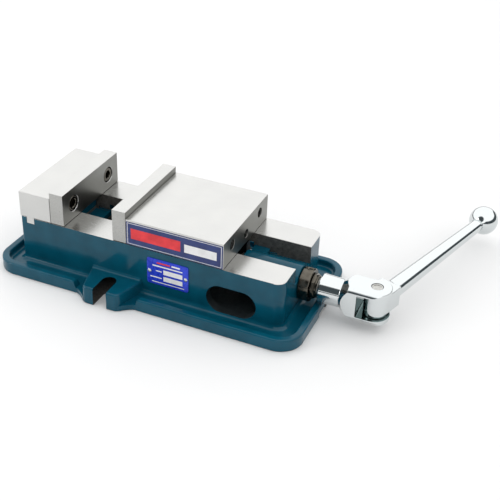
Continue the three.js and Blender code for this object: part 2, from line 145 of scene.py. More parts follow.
def addTurned(name, rings, sides=96, centre=(0, 0)):
    # a body turned about X: each ring is (x, radius), drawn out from the one before it
    deselectAll()
    x, radius = rings[0]
    bpy.ops.mesh.primitive_circle_add(
        vertices=sides, radius=radius * mm, fill_type="NGON",
        location=(x * mm, centre[0] * mm, centre[1] * mm), rotation=turns["x"])
    piece = settle(bpy.context.object, name)
    bpy.ops.object.mode_set(mode="EDIT")
    bpy.ops.mesh.select_all(action="SELECT")
    for nextX, nextRadius in rings[1:]:
        bpy.ops.mesh.extrude_region_move(TRANSFORM_OT_translate={"value": ((nextX - x) * mm, 0, 0)})
        scale = nextRadius / radius
        bpy.ops.transform.resize(
            value=(1, scale, scale), center_override=(nextX * mm, centre[0] * mm, centre[1] * mm))
        x, radius = nextX, nextRadius
    bpy.ops.mesh.select_all(action="SELECT")
    bpy.ops.mesh.normals_make_consistent(inside=False)
    bpy.ops.object.mode_set(mode="OBJECT")
    return piece


def addHex(name, flats, low, high, centre=(0, 0)):
    return addRod(name, "x", flats / math.sqrt(3), low, high, centre, sides=6)


def copyOf(piece, name):
    twin = piece.copy()
    twin.data = piece.data.copy()
    twin.name = twin.data.name = name
    bpy.context.scene.collection.objects.link(twin)
    return twin


def place(piece, matrix):
    piece.data.transform(matrix)
    piece.data.update()


def moved(x, y, z):
    return Matrix.Translation(Vector((x, y, z)) * mm)


def turned(degrees, axis):
    return Matrix.Rotation(math.radians(degrees), 4, axis)


def softenAll(piece, width, segments, limit):
    # tiny edges left by the cuts would hold the bevel back, so they go first
    activate(piece)
    bpy.ops.object.mode_set(mode="EDIT")
    bpy.ops.mesh.select_all(action="SELECT")
    bpy.ops.mesh.remove_doubles(threshold=0.02 * mm)
    bpy.ops.mesh.dissolve_limited(angle_limit=math.radians(0.4))
    bpy.ops.object.mode_set(mode="OBJECT")
    step = piece.modifiers.new("soften", "BEVEL")
    step.width = width * mm
    step.segments = segments
    step.limit_method = "ANGLE"
    step.angle_limit = math.radians(limit)
    step.use_clamp_overlap = True
    bpy.ops.object.modifier_apply(modifier=step.name)


def finishPiece(piece, body, nodes, looks, angle=32):
    activate(piece)
    bpy.ops.object.mode_set(mode="EDIT")
    bpy.ops.mesh.select_all(action="SELECT")
    bpy.ops.mesh.remove_doubles(threshold=0.002 * mm)
    bpy.ops.mesh.dissolve_degenerate(threshold=0.001 * mm)
    bpy.ops.object.mode_set(mode="OBJECT")
    bpy.ops.object.shade_smooth_by_angle(angle=math.radians(angle))
    step = piece.modifiers.new("evenNormals", "WEIGHTED_NORMAL")
    step.keep_sharp = True
    bpy.ops.object.modifier_apply(modifier=step.name)
    piece.data.materials.clear()
    for look in looks:
        piece.data.materials.append(look)
    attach(piece, body)
    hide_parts(*nodes)


def paintFaces(piece, index, test):
    for face in piece.data.polygons:
        if test(face.center / mm, face.normal):
            face.material_index = index


# Finishes
def newFinish(name, colour, metallic, roughness):
    finish = bpy.data.materials.new(name)
    finish.use_nodes = True
    nodes = finish.node_tree.nodes
    shader = next(n for n in nodes if n.type == "BSDF_PRINCIPLED")
    shader.inputs["Base Color"].default_value = (*colour, 1)
    shader.inputs["Metallic"].default_value = metallic
    shader.inputs["Roughness"].default_value = roughness
    return finish, shader


def spots(finish, size, stretch=(1, 1, 1), detail=3.0):
    # soft random pattern whose features are about size mm across
    nodes, links = finish.node_tree.nodes, finish.node_tree.links
    coords = nodes.new("ShaderNodeTexCoord")
    mapping = nodes.new("ShaderNodeMapping")
    mapping.inputs["Scale"].default_value = stretch
    noise = nodes.new("ShaderNodeTexNoise")
    noise.inputs["Scale"].default_value = 1 / (size * mm)
    noise.inputs["Detail"].default_value = detail
    links.new(coords.outputs["Object"], mapping.inputs["Vector"])
    links.new(mapping.outputs["Vector"], noise.inputs["Vector"])
    return noise.outputs["Fac"]


def spread(finish, fac, low, high, start=0.3, end=0.7):
    nodes, links = finish.node_tree.nodes, finish.node_tree.links
    remap = nodes.new("ShaderNodeMapRange")
    remap.inputs["From Min"].default_value = start
    remap.inputs["From Max"].default_value = end
    remap.inputs["To Min"].default_value = low
    remap.inputs["To Max"].default_value = high
    links.new(fac, remap.inputs["Value"])
    return remap.outputs["Result"]


def tint(finish, fac, low, high, start=0.35, end=0.65):
    nodes, links = finish.node_tree.nodes, finish.node_tree.links
    ramp = nodes.new("ShaderNodeValToRGB")
    ramp.color_ramp.elements[0].position = start
    ramp.color_ramp.elements[0].color = (*low, 1)
    ramp.color_ramp.elements[1].position = end
    ramp.color_ramp.elements[1].color = (*high, 1)
    links.new(fac, ramp.inputs["Fac"])
    return ramp.outputs["Color"]


def bumps(finish, shader, layers):
    # layers of (pattern, strength, height in mm), one on the other
    nodes, links = finish.node_tree.nodes, finish.node_tree.links
    last = None
    for fac, strength, height in layers:
        bump = nodes.new("ShaderNodeBump")
        bump.inputs["Strength"].default_value = strength
        bump.inputs["Distance"].default_value = height * mm
        links.new(fac, bump.inputs["Height"])
        if last:
            links.new(last, bump.inputs["Normal"])
        last = bump.outputs["Normal"]
    links.new(last, shader.inputs["Normal"])


def makeEnamel():
    look = {"deep": (0.001, 0.060, 0.098), "light": (0.002, 0.074, 0.120), "roughness": (0.1, 0.2)}
    finish, shader = newFinish("tealEnamel", look["deep"], 0.0, 0.2)
    links = finish.node_tree.links
    links.new(tint(finish, spots(finish, 22), look["deep"], look["light"]), shader.inputs["Base Color"])
    links.new(spread(finish, spots(finish, 9), *look["roughness"]), shader.inputs["Roughness"])
    shader.inputs["Specular IOR Level"].default_value = 0.28
    bumps(finish, shader, [(spots(finish, 14, detail=2), 0.3, 0.35), (spots(finish, 1.6), 0.08, 0.05)])
    return finish


def makeGround(name, low, high, roughness, grain):
    # surface-ground steel: fine lines along the grinding direction
    finish, shader = newFinish(name, high, 1.0, 0.3)
    links = finish.node_tree.links
    links.new(tint(finish, spots(finish, 30, detail=1), low, high, 0.2, 0.8), shader.inputs["Base Color"])
    lines = spots(finish, 0.5, grain, 4)
    links.new(spread(finish, lines, *roughness), shader.inputs["Roughness"])
    bumps(finish, shader, [(lines, 0.05, 0.02)])
    return finish


def makeChrome(name, colour):
    finish, shader = newFinish(name, colour, 1.0, 0.07)
    links = finish.node_tree.links
    links.new(spread(finish, spots(finish, 4), 0.05, 0.11), shader.inputs["Roughness"])
    bumps(finish, shader, [(spots(finish, 12, detail=1), 0.18, 0.25)])
    return finish


def makeOxide():
    finish, shader = newFinish("blackOxide", (0.11, 0.1, 0.085), 1.0, 0.2)
    links = finish.node_tree.links
    links.new(tint(finish, spots(finish, 6), (0.09, 0.082, 0.068), (0.13, 0.12, 0.1)),
              shader.inputs["Base Color"])
    links.new(spread(finish, spots(finish, 3), 0.16, 0.27), shader.inputs["Roughness"])
    bumps(finish, shader, [(spots(finish, 1.5), 0.05, 0.02)])
    return finish


def makeRough(name, low, high, metallic, roughness, size, height):
    finish, shader = newFinish(name, high, metallic, roughness)
    links = finish.node_tree.links
    links.new(tint(finish, spots(finish, size * 3), low, high), shader.inputs["Base Color"])
    uneven = spread(finish, spots(finish, size), roughness * 0.8, roughness * 1.2)
    links.new(uneven, shader.inputs["Roughness"])
    bumps(finish, shader, [(spots(finish, size), 0.3, height)])
    return finish


# how far the grinding lines are drawn out on each axis
grainLong = (0.03, 1, 1)
grainCross = (1, 0.03, 1)

# a ground finish has its two tones, roughness and grain; a rough one has its two tones, metallic,
# roughness, pattern size and bump height in mm
finishes = {
    "enamel": makeEnamel(),
    "ground": makeGround(
        "groundSteel", (0.57, 0.57, 0.56), (0.60, 0.60, 0.585), (0.22, 0.28), grainLong),
    # groundSideShaded: the ground steel darkened as painted shade for the plates' front and back faces
    "groundSideShaded": makeGround(
        "groundSideShaded", (0.39, 0.39, 0.375), (0.44, 0.44, 0.425), (0.24, 0.32), grainLong),
    # groundAcrossShaded: cross-grained ground steel, its darker tone painted shade for end faces turned from
    # the light
    "groundAcrossShaded": makeGround(
        "groundAcrossShaded", (0.23, 0.23, 0.215), (0.27, 0.27, 0.255), (0.32, 0.42), grainCross),
    "machined": makeRough(
        "machinedCasting", (0.11, 0.103, 0.095), (0.17, 0.16, 0.148), 0.45, 0.32, 1.6, 0.03),
    "plain": makeRough("turnedSteel", (0.42, 0.42, 0.4), (0.55, 0.55, 0.53), 1.0, 0.32, 1.0, 0.02),
    "chrome": makeChrome("chromePlate", (0.66, 0.69, 0.695)),
    # dark chrome: painted shade for the faces inside the fork gap
    "chromeGapShade": makeChrome("gapShadedChrome", (0.13, 0.18, 0.18)),
    "oxide": makeOxide(),
    "castNut": makeRough("castIron", (0.06, 0.058, 0.055), (0.13, 0.125, 0.12), 0.6, 0.55, 1.5, 0.08),
    # near-black casting: painted shade for the window tunnels and the hollow under the rails
    "inside": makeRough("hollowShadedCasting", (0.004, 0.008, 0.01), (0.014, 0.02, 0.022), 0.0, 0.55, 1.6, 0.1),
    "bronze": makeRough("bearingBronze", (0.42, 0.25, 0.1), (0.58, 0.36, 0.16), 1.0, 0.35, 2.0, 0.02),
    "aluminium": makeRough("rivetAluminium", (0.6, 0.6, 0.6), (0.78, 0.78, 0.78), 1.0, 0.3, 1.0, 0.01),
    "blue": makeRough("printedBlue", (0.014, 0.038, 0.5), (0.02, 0.055, 0.62), 0.2, 0.3, 4.0, 0.005),
    "navy": makeRough("printedNavy", (0.012, 0.025, 0.12), (0.02, 0.04, 0.17), 0.0, 0.35, 4.0, 0.005),
    "white": makeRough("printedWhite", (0.74, 0.74, 0.74), (0.86, 0.86, 0.86), 0.0, 0.4, 4.0, 0.005),
    "red": makeRough("printedRed", (0.62, 0.02, 0.03), (0.8, 0.035, 0.045), 0.0, 0.38, 4.0, 0.005),
}
print("finishes made:", len(finishes))

axisZ = middle("lead_screw")[2]
castX, castY, castZ = span("base_casting")
bedTop = castZ[1]


# Base casting
def makeCasting():
    size = {
        "half": 92, "corner": 28, "rim": 15.5, "rimWidth": 9, "floor": 7, "rimRound": 3, "foot": 1.2,
        "bedX": (-61, 277.5), "bedHalf": 63.5, "leftCorner": 3, "rightCorner": 11, "skirt": 6,
        "lugX": 69.3, "lugTop": 22.5, "lugWall": 35, "lugNose": 23.2, "slotHalf": 8.75, "slotRoot": 73,
        "footWall": 42.5, "footBend": 35, "footNose": 23.5, "gapTop": 43.6, "gapFloor": 40,
        "channelX": -10, "channelHalf": 25, "channelFloor": 45, "band": 18, "recess": 2,
        "cavityX": (10, 250), "cavityHalf": 52, "cavityFloor": 10, "cavityRoof": 55, "shelfUnder": 39,
        "bossX": 206, "bossRadius": 22,
        "windowX": (185.5, 246.5), "windowRadius": 17, "windowZ": 27,
        "keyHalf": 12, "keyDepth": 6, "keyX": (-46, 265), "darkX": 150,
        "ledgeLength": 20, "ledgeY": (4, 25.5), "ledgeZ": (40, 52),
        "thrustSeat": 17.3, "thrustDepth": 14, "bore": 11.5, "bushSeat": 14.3, "bushX": 239.7,
        "tailBore": 12.3, "tailX": (-32.3, 12), "tongueSeatX": (-52.7, -42.1),
        "boltX": -32, "boltSide": 26, "boltRelief": 10.5, "boltSeat": 36.3, "boltHole": 6.3,
    }
    left, right = castX
    half, rim, floor = size["half"], size["rim"], size["floor"]

    cast = addBlock("baseCasting", (left, right), (-half, half), (0, rim))
    bevelEdges(cast, upright, size["corner"], 14)
    tray = addBlock("tray", (left + size["rimWidth"], right - size["rimWidth"]),
                    (-half + size["rimWidth"], half - size["rimWidth"]), (floor, rim + 15))
    bevelEdges(tray, upright, size["corner"] - size["rimWidth"], 14)
    bevelEdges(tray, lambda a, b: a.z < floor + 0.1 and b.z < floor + 0.1, 3, 4)
    combine(cast, tray)
    for side in (-1, 1):
        # the rim stops short of each lug, and its ends slope down to the floor
        gap = addBlock("gap", (size["lugX"] - size["gapTop"], size["lugX"] + size["gapTop"]),
                       sorted((side * (half - size["rimWidth"] - 4), side * (half + 2))), (floor, rim + 5))
        select(gap, "FACE", lambda c, n: n.z < -0.9)
        bpy.ops.transform.resize(
            value=(size["gapFloor"] / size["gapTop"], 1, 1),
            center_override=(size["lugX"] * mm, 0, floor * mm))
        bpy.ops.object.mode_set(mode="OBJECT")
        combine(cast, gap)
    bevelEdges(cast, lambda a, b: a.z > rim - 0.1 and b.z > rim - 0.1, size["rimRound"], 5)
    bevelEdges(cast, lambda a, b: a.z < 0.1 and b.z < 0.1, size["foot"], 2)

    # fillet where the bed rises from the tray
    bedLeft, bedRight = size["bedX"]
    skirt = addBlock("skirt", (bedLeft - size["skirt"], bedRight + size["skirt"]),
                     (-size["bedHalf"] - size["skirt"], size["bedHalf"] + size["skirt"]), (3, floor))
    bevelEdges(skirt, lambda a, b: upright(a, b) and a.x < 0, size["leftCorner"] + size["skirt"], 6)
    bevelEdges(skirt, lambda a, b: upright(a, b) and a.x > 0, size["rightCorner"] + size["skirt"], 10)
    select(skirt, "FACE", lambda c, n: n.z > 0.9)
    steps = 6
    for i in range(steps):
        a, b = [math.pi / 2 * k / steps for k in (i, i + 1)]
        bpy.ops.mesh.inset(thickness=size["skirt"] * (math.sin(b) - math.sin(a)) * mm,
                           depth=size["skirt"] * (math.cos(a) - math.cos(b)) * mm)
    bpy.ops.object.mode_set(mode="OBJECT")
    combine(cast, skirt, "UNION")

    bed = addBlock("bed", (bedLeft, bedRight), (-size["bedHalf"], size["bedHalf"]), (4, bedTop))
    bevelEdges(bed, lambda a, b: upright(a, b) and a.x < 0, size["leftCorner"], 5)
    bevelEdges(bed, lambda a, b: upright(a, b) and a.x > 0, size["rightCorner"], 10)
    combine(cast, bed, "UNION")

    for side in (-1, 1):
        makeLug(cast, side, size)

    # ground channel between the rails, undercut below its machined band, and the hollow under it
    past = right + 10
    combine(cast, addBlock("channel", (size["channelX"], past), (-size["channelHalf"], size["channelHalf"]),
                           (size["channelFloor"], bedTop + 10)))
    wide = size["channelHalf"] + size["recess"]
    undercut = addBlock("undercut", (size["channelX"] + 4, size["bossX"] + 30), (-wide, wide),
                        (size["channelFloor"] + 0.5, bedTop - size["band"]))
    bevelEdges(undercut, lambda a, b: abs(a.y - b.y) < 0.01 and abs(a.z - b.z) < 0.01, 1.4, 3)
    combine(cast, undercut)
    wide = (-size["cavityHalf"], size["cavityHalf"])
    combine(cast, addBlock("hollow", size["cavityX"], wide, (size["cavityFloor"], size["shelfUnder"])))
    combine(cast, addBlock("upperHollow", (size["cavityX"][0], size["bossX"]), wide,
                           (size["cavityFloor"] + 5, size["cavityRoof"])))

    boss = addTurned("boss", [
        (size["bossX"], size["bossRadius"] - 1.5), (size["bossX"] + 0.5, size["bossRadius"] - 0.5),
        (size["bossX"] + 1.5, size["bossRadius"]), (bedRight - 0.4, size["bossRadius"])], 96, (0, axisZ))
    combine(cast, boss, "UNION")
    ledgeX = (size["bossX"] + 1, size["bossX"] + 1 + size["ledgeLength"])
    ledge = addBlock("ledge", ledgeX, size["ledgeY"], size["ledgeZ"])
    bevelEdges(ledge, anyEdge, 1.5, 3)
    combine(cast, ledge, "UNION")
    combine(cast, addTurned("screwBore", [
        (size["bossX"] - 3, size["thrustSeat"]), (size["bossX"] + size["thrustDepth"], size["thrustSeat"]),
        (size["bossX"] + size["thrustDepth"] + 0.01, size["bore"]), (size["bushX"], size["bore"]),
        (size["bushX"] + 0.01, size["bushSeat"]), (past, size["bushSeat"])], 64, (0, axisZ)))
    combine(cast, addRod("tailBore", "x", size["tailBore"], *size["tailX"], (0, axisZ), 48))

    radius, height = size["windowRadius"], size["windowZ"]
    for side in (-1, 1):
        window = addBlock("window", size["windowX"], sorted((side * 50, side * 70)),
                          (height - radius, height + radius))
        bevelEdges(window, lambda a, b: abs(a.y - b.y) > 1, radius - 0.05, 12)
        combine(cast, window)
    bevelEdges(cast, lambda a, b: all(
        abs(abs(p.y) - size["bedHalf"]) < 0.05 and size["windowX"][0] - 0.1 < p.x < size["windowX"][1] + 0.1
        and height - radius - 0.1 < p.z < height + radius + 0.1
        for p in (a, b)), 1.2, 3)

    jaw = span("fixed_jaw")
    combine(cast, addBlock("tongueSeat", size["tongueSeatX"], (-70, 70), (jaw[2][0] - 0.3, bedTop + 10)))
    keyY = (-size["keyHalf"], size["keyHalf"])
    for ends in ((left - 1, size["keyX"][0]), (size["keyX"][1], right + 1)):
        combine(cast, addBlock("keyway", ends, keyY, (-1, size["keyDepth"])))
    for side in (-1, 1):
        centre = (size["boltX"], side * size["boltSide"])
        combine(cast, addRod("boltRelief", "z", size["boltRelief"], -1, size["boltSeat"], centre, 48))
        combine(cast, addRod("boltHole", "z", size["boltHole"], 30, bedTop + 5, centre, 32))

    # light breaks along the ground tops, and cuts where one finish ends and the next begins
    bevelEdges(cast, lambda a, b: a.z > bedTop - 0.02 and b.z > bedTop - 0.02, 0.45, 2)
    activate(cast)
    bpy.ops.object.mode_set(mode="EDIT")
    bpy.ops.mesh.select_all(action="SELECT")
    bpy.ops.mesh.bisect(plane_co=(0, 0, (bedTop - size["band"]) * mm), plane_no=(0, 0, 1))
    bpy.ops.mesh.select_all(action="SELECT")
    bpy.ops.mesh.bisect(plane_co=(size["darkX"] * mm, 0, 0), plane_no=(1, 0, 0))
    bpy.ops.object.mode_set(mode="OBJECT")
    looks = [finishes["enamel"], finishes["ground"], finishes["machined"], finishes["inside"]]
    finishPiece(cast, "base", ["base_casting"], looks)
    paintFaces(cast, 1, lambda c, n: c.z > bedTop - 0.6 and n.z > 0.3)
    paintFaces(cast, 2, lambda c, n: (
        (abs(n.y) > 0.9 and 24.6 < abs(c.y) < 27.4 and size["channelFloor"] < c.z < bedTop - 0.5)
        or (abs(c.x - size["lugX"]) < size["slotHalf"] + 0.3 and size["slotRoot"] - 0.5 < abs(c.y) < 104
            and abs(n.z) < 0.2)
        or (c.z < 0.3 and n.z < -0.9)
        or (c.z < size["keyDepth"] + 0.1 and abs(c.y) < size["keyHalf"] + 0.1 and abs(n.x) < 0.5)
        or (-53 < c.x < -42 and c.z > bedTop - 9 and n.z < 0.9 and abs(n.y) < 0.5)
        or (abs(n.y) < 0.99 and abs(c.y) < 13 and c.x < 12 and c.z < 50 and c.z > 18 and c.x > -33)))
    # window tunnels and the hollow past darkX take the near-black finish as painted shade
    paintFaces(cast, 3, lambda c, n: (
        size["cavityHalf"] < abs(c.y) < size["bedHalf"] - 1.3 and abs(n.y) < 0.2
        and size["windowX"][0] - 1 < c.x < size["windowX"][1] + 1 and 9 < c.z < 45
        or abs(c.y) < size["cavityHalf"] + 0.2 and size["darkX"] < c.x < size["cavityX"][1] + 1
        and 9.5 < c.z < 44.5))


def makeLug(cast, side, size):
    # hold-down lug: a tapered block over a thin foot that spreads into the flange
    top, centre, nose = size["lugTop"], size["lugX"], castY[1]
    lug = addBlock("lug", (centre - size["lugWall"], centre + size["lugWall"]),
                   sorted((side * 59.5, side * nose)), (0, top))
    select(lug, "FACE", lambda c, n: n.y * side > 0.9)
    bpy.ops.transform.resize(
        value=(size["lugNose"] / size["lugWall"], 1, 1), center_override=(centre * mm, side * nose * mm, 0))
    bpy.ops.object.mode_set(mode="OBJECT")
    bevelEdges(lug, lambda a, b: upright(a, b) and abs(a.y) > nose - 0.1, 5, 6)
    bevelEdges(lug, lambda a, b: a.z > top - 0.1 and b.z > top - 0.1, 2.6, 4)
    bevelEdges(lug, lambda a, b: a.z < 0.1 and b.z < 0.1, 1, 2)
    combine(cast, lug, "UNION")

    edge, reach = size["half"] - 1, nose - 2
    half, y = size["footWall"], edge
    foot = addBlock("foot", (centre - half, centre + half), sorted((side * 84, side * edge)),
                    (0.6, size["floor"]))
    select(foot, "FACE", lambda c, n: n.y * side > 0.9)
    for i in range(1, 7):
        share = i / 6
        nextHalf = ((1 - share) ** 2 * size["footWall"] + 2 * share * (1 - share) * size["footBend"]
                    + share ** 2 * size["footNose"])
        nextY = edge + share ** 2 * (reach - edge)
        bpy.ops.mesh.extrude_region_move(TRANSFORM_OT_translate={"value": (0, side * (nextY - y) * mm, 0)})
        bpy.ops.transform.resize(value=(nextHalf / half, 1, 1), center_override=(centre * mm, 0, 0))
        half, y = nextHalf, nextY
    bpy.ops.object.mode_set(mode="OBJECT")
    bevelEdges(foot, lambda a, b: min(a.z, b.z) > size["floor"] - 0.1
               and min(abs(a.y), abs(b.y)) > edge - 0.1, 1.8, 4)
    combine(cast, foot, "UNION")

    # fillet along the bed above the lug
    radius = 4
    y = side * size["bedHalf"]
    reach = size["lugWall"] - 3
    strip = addBlock("strip", (centre - reach, centre + reach), sorted((y - side, y + side * radius)),
                     (top - 1, top + radius))
    combine(strip, addRod("round", "x", radius, centre - 40, centre + 40,
                          (y + side * radius, top + radius), 48))
    combine(cast, strip, "UNION")

    root = size["slotRoot"] + size["slotHalf"]
    slot = addBlock("slot", (centre - size["slotHalf"], centre + size["slotHalf"]),
                    sorted((side * size["slotRoot"], side * 115)), (-2, top + 5))
    bevelEdges(slot, lambda a, b: upright(a, b) and abs(a.y) < root, size["slotHalf"] - 0.05, 8)
    combine(cast, slot)
    bevelEdges(cast, lambda a, b: all(
        abs(p.z - top) < 0.05 and abs(p.x - centre) < size["slotHalf"] + 0.05
        and p.y * side > size["slotRoot"] - 0.1
        for p in (a, b)), 0.8, 2)


makeCasting()
print("base casting made")


# Jaws
def makeBlockJaw():
    size = {"tongueX": (-52.4, -42.4), "break": 0.6}
    x, y, z = span("fixed_jaw")
    jaw = addBlock("fixedJaw", x, y, (bedTop + 0.3, z[1]))
    bevelEdges(jaw, anyEdge, size["break"], 2)
    tongue = addBlock("tongue", size["tongueX"], (y[0] + 0.3, y[1] - 0.3), (z[0], bedTop + 4))
    combine(jaw, tongue, "UNION")
    finishPiece(jaw, "base", ["fixed_jaw"], [finishes["ground"], finishes["groundAcrossShaded"]])
    # end faces take the cross-grained tone, darkened as painted shade
    paintFaces(jaw, 1, lambda c, n: abs(n.x) > 0.7)


def makePlate(name, node, body, towards):
    # hardened plate with two counterbored screw holes in its clamping face
    size = {"screwSide": 40, "screwHeight": 20.4, "recess": 10, "depth": 12.6, "hole": 6.4, "break": 0.7}
    x, y, z = span(node)
    face = x[1] if towards > 0 else x[0]
    jaw = addBlock(name, x, y, z)
    bevelEdges(jaw, anyEdge, size["break"], 2)
    for side in (-1, 1):
        bore = addTurned("bore", [(-2, 12.3), (0.35, size["recess"]), (size["depth"], size["recess"]),
                                  (size["depth"] + 0.01, size["hole"]), (30, size["hole"])], 64)
        place(bore, moved(face, side * size["screwSide"], bedTop + size["screwHeight"])
              @ turned(180 if towards > 0 else 0, "Z"))
        combine(jaw, bore)
    finishPiece(jaw, body, [node],
                [finishes["ground"], finishes["groundAcrossShaded"], finishes["groundSideShaded"]])
    # end faces take the cross-grained tone, darkened as painted shade
    paintFaces(jaw, 1, lambda c, n: abs(n.x) > 0.7)
    # front and back faces take the side tone, darkened as painted shade
    paintFaces(jaw, 2, lambda c, n: abs(n.y) > 0.9)


def makeCapScrews():
    size = {"head": 9, "headLength": 12, "shank": 6, "reach": 31.9, "flats": 10, "socket": 6}
    screw = addTurned("capScrew", [
        (0, size["head"] - 1.1), (0.35, size["head"] - 0.5), (1.1, size["head"]),
        (size["headLength"], size["head"]), (size["headLength"] + 0.01, size["shank"]),
        (size["reach"] - 1, size["shank"]), (size["reach"], size["shank"] - 1)], 48)
    combine(screw, addHex("socket", size["flats"], -1, size["socket"]))
    combine(screw, addTurned("mouth", [(-0.5, 6.4), (0.7, 5.2)], 48))
    for where in ("front", "rear"):
        for name, body, back in (("fixed", "base", 180), ("movable", "sliding_jaw", 0)):
            node = f"{name}_plate_screw_{where}"
            x, y, z = span(node)
            twin = copyOf(screw, f"{name}PlateScrew{where.capitalize()}")
            head = x[1] if back else x[0]
            place(twin, moved(head, sum(y) / 2, sum(z) / 2) @ turned(back, "Z"))
            finishPiece(twin, body, [node], [finishes["oxide"]])
    bpy.data.objects.remove(screw)


def makeSlidingJaw():
    size = {
        "keelX": (89.6, 193.6), "keelHalf": 24.6, "keelLow": 56.5, "break": 0.6,
        "hornX": (103.1, 132.1), "hornHalf": 12.5, "hornZ": (50, 88),
        "holeSide": 39.5, "holeHeight": 20, "hole": 6, "holeDepth": 30,
        "adjustHeight": 12.8, "adjustHole": 5.3, "adjustDepth": 70, "leadIn": 2.4,
    }
    x, y, z = span("movable_jaw")
    jaw = addBlock("slidingJaw", x, y, (bedTop + 0.3, z[1]))
    bevelEdges(jaw, anyEdge, size["break"], 2)
    keelY = (-size["keelHalf"], size["keelHalf"])
    keel = addBlock("keel", size["keelX"], keelY, (size["keelLow"], bedTop + 3))
    bevelEdges(keel, lambda a, b: a.z < 60 and b.z < 60, 0.8, 2)
    combine(jaw, keel, "UNION")
    combine(jaw, addBlock("hornPocket", size["hornX"], (-size["hornHalf"], size["hornHalf"]), size["hornZ"]))
    for side, height, radius, depth in (
            (size["holeSide"], size["holeHeight"], size["hole"], size["holeDepth"]),
            (-size["holeSide"], size["holeHeight"], size["hole"], size["holeDepth"]),
            (0, size["adjustHeight"], size["adjustHole"], size["adjustDepth"])):
        drill = addTurned("drill", [(-2, radius + size["leadIn"]), (0.4, radius), (depth, radius)], 48)
        place(drill, moved(x[1], side, bedTop + height) @ turned(180, "Z"))
        combine(jaw, drill)
    finishPiece(jaw, "sliding_jaw", ["movable_jaw"],
                [finishes["ground"], finishes["groundAcrossShaded"]])
    # end faces take the cross-grained tone, darkened as painted shade
    paintFaces(jaw, 1, lambda c, n: abs(n.x) > 0.7)


makeBlockJaw()
makePlate("fixedJawPlate", "fixed_jaw_plate", "base", 1)
makePlate("slidingJawPlate", "movable_jaw_plate", "sliding_jaw", -1)
makeCapScrews()
makeSlidingJaw()
print("jaws made")


# Lead screw and its bearing
def makeLeadScrew():
    size = {
        "pitch": 5, "root": 9.6, "crest": 12, "threadX": (6, 200), "aroundSteps": 32, "alongSteps": 8,
        "tail": 9, "tailX": -30, "shoulder": 16, "shoulderX": 205.6, "journal": 11, "journalX": 299.5,
        "driver": 19, "driverX": 323,
    }
    low, high = size["threadX"]
    tail, shoulder, journal = size["tail"], size["shoulder"], size["journal"]
    screw = addTurned("leadScrew", [
        (size["tailX"], tail - 1), (size["tailX"] + 1, tail), (low - 0.5, tail), (low + 0.5, size["root"]),
        (high, size["root"]), (high + 0.01, shoulder - 0.6), (high + 0.6, shoulder),
        (size["shoulderX"] - 0.6, shoulder), (size["shoulderX"], shoulder - 0.6),
        (size["shoulderX"] + 0.01, journal), (size["journalX"] - 0.5, journal),
        (size["journalX"], journal - 0.5)], 64, (0, axisZ))
    driver = addHex("driver", size["driver"], size["journalX"] - 0.5, size["driverX"], (0, axisZ))
    bevelEdges(driver, lambda a, b: min(a.x, b.x) > size["driverX"] - 0.1, 0.9, 2)
    combine(screw, driver, "UNION")

    # left-hand thread, so that turning the handle clockwise closes the jaws: a grid rolled round the
    # screw, its crests following the pitch
    around = size["aroundSteps"]
    along = int((high - low) / size["pitch"] * size["alongSteps"])
    deselectAll()
    bpy.ops.mesh.primitive_grid_add(x_subdivisions=along, y_subdivisions=around, size=1)
    thread = bpy.context.object
    depth = size["crest"] - size["root"]
    for vertex in thread.data.vertices:
        u, v = vertex.co.x + 0.5, vertex.co.y + 0.5
        x = low + u * (high - low)
        phase = (x / size["pitch"] - v) % 1.0
        rise = min(1, max(0, 2.4 * (0.5 - abs(phase - 0.5)) * 2 - 0.7))
        edge = min(1, min(x - low, high - x) / 3)
        radius = size["root"] - 0.4 + (depth + 0.4) * rise * edge
        angle = v * 2 * math.pi
        vertex.co = Vector((x, radius * math.sin(angle), axisZ + radius * math.cos(angle))) * mm
    activate(thread)
    bpy.ops.object.mode_set(mode="EDIT")
    bpy.ops.mesh.select_all(action="SELECT")
    bpy.ops.mesh.remove_doubles(threshold=0.01 * mm)
    bpy.ops.mesh.select_all(action="DESELECT")
    bpy.ops.mesh.select_mode(type="EDGE")
    bpy.ops.mesh.select_non_manifold()
    bpy.ops.mesh.fill_holes(sides=0)
    bpy.ops.mesh.select_all(action="SELECT")
    bpy.ops.mesh.normals_make_consistent(inside=False)
    bpy.ops.object.mode_set(mode="OBJECT")
    combine(screw, thread, "UNION")
    finishPiece(screw, "screw", ["lead_screw"], [finishes["plain"]])


def makeCollar():
    size = {"tilt": 15, "hole": 3.3, "rim": 5.4, "bore": 11.3, "round": 1.2}
    x, y, z = span("screw_collar")
    radius = (y[1] - y[0]) / 2
    r = size["round"]
    collar = addTurned("screwCollar", [
        (x[0], radius - r), (x[0] + 0.3 * r, radius - 0.3 * r), (x[0] + r, radius),
        (x[1] - r, radius), (x[1] - 0.3 * r, radius - 0.3 * r), (x[1], radius - r)], 96, (0, axisZ))
    combine(collar, addRod("bore", "x", size["bore"], x[0] - 1, x[1] + 1, (0, axisZ), 64))
    seat = addTurned("seat", [
        (5, size["hole"]), (16.9, size["hole"]), (18.6, size["rim"]), (24, size["rim"] + 2)], 40)
    setX = middle("collar_set_screw")[0]
    upwards = moved(setX, 0, axisZ) @ turned(-size["tilt"], "X") @ turned(-90, "Y")
    place(seat, upwards)
    combine(collar, seat)
    finishPiece(collar, "screw", ["screw_collar"], [finishes["oxide"]])

    grub = addTurned("collarSetScrew", [(11.9, 2.2), (12.7, 3), (17.9, 3), (18.5, 2.4)], 32)
    combine(grub, addHex("key", 3, 15.6, 20))
    place(grub, upwards)
    finishPiece(grub, "screw", ["collar_set_screw"], [finishes["oxide"]])


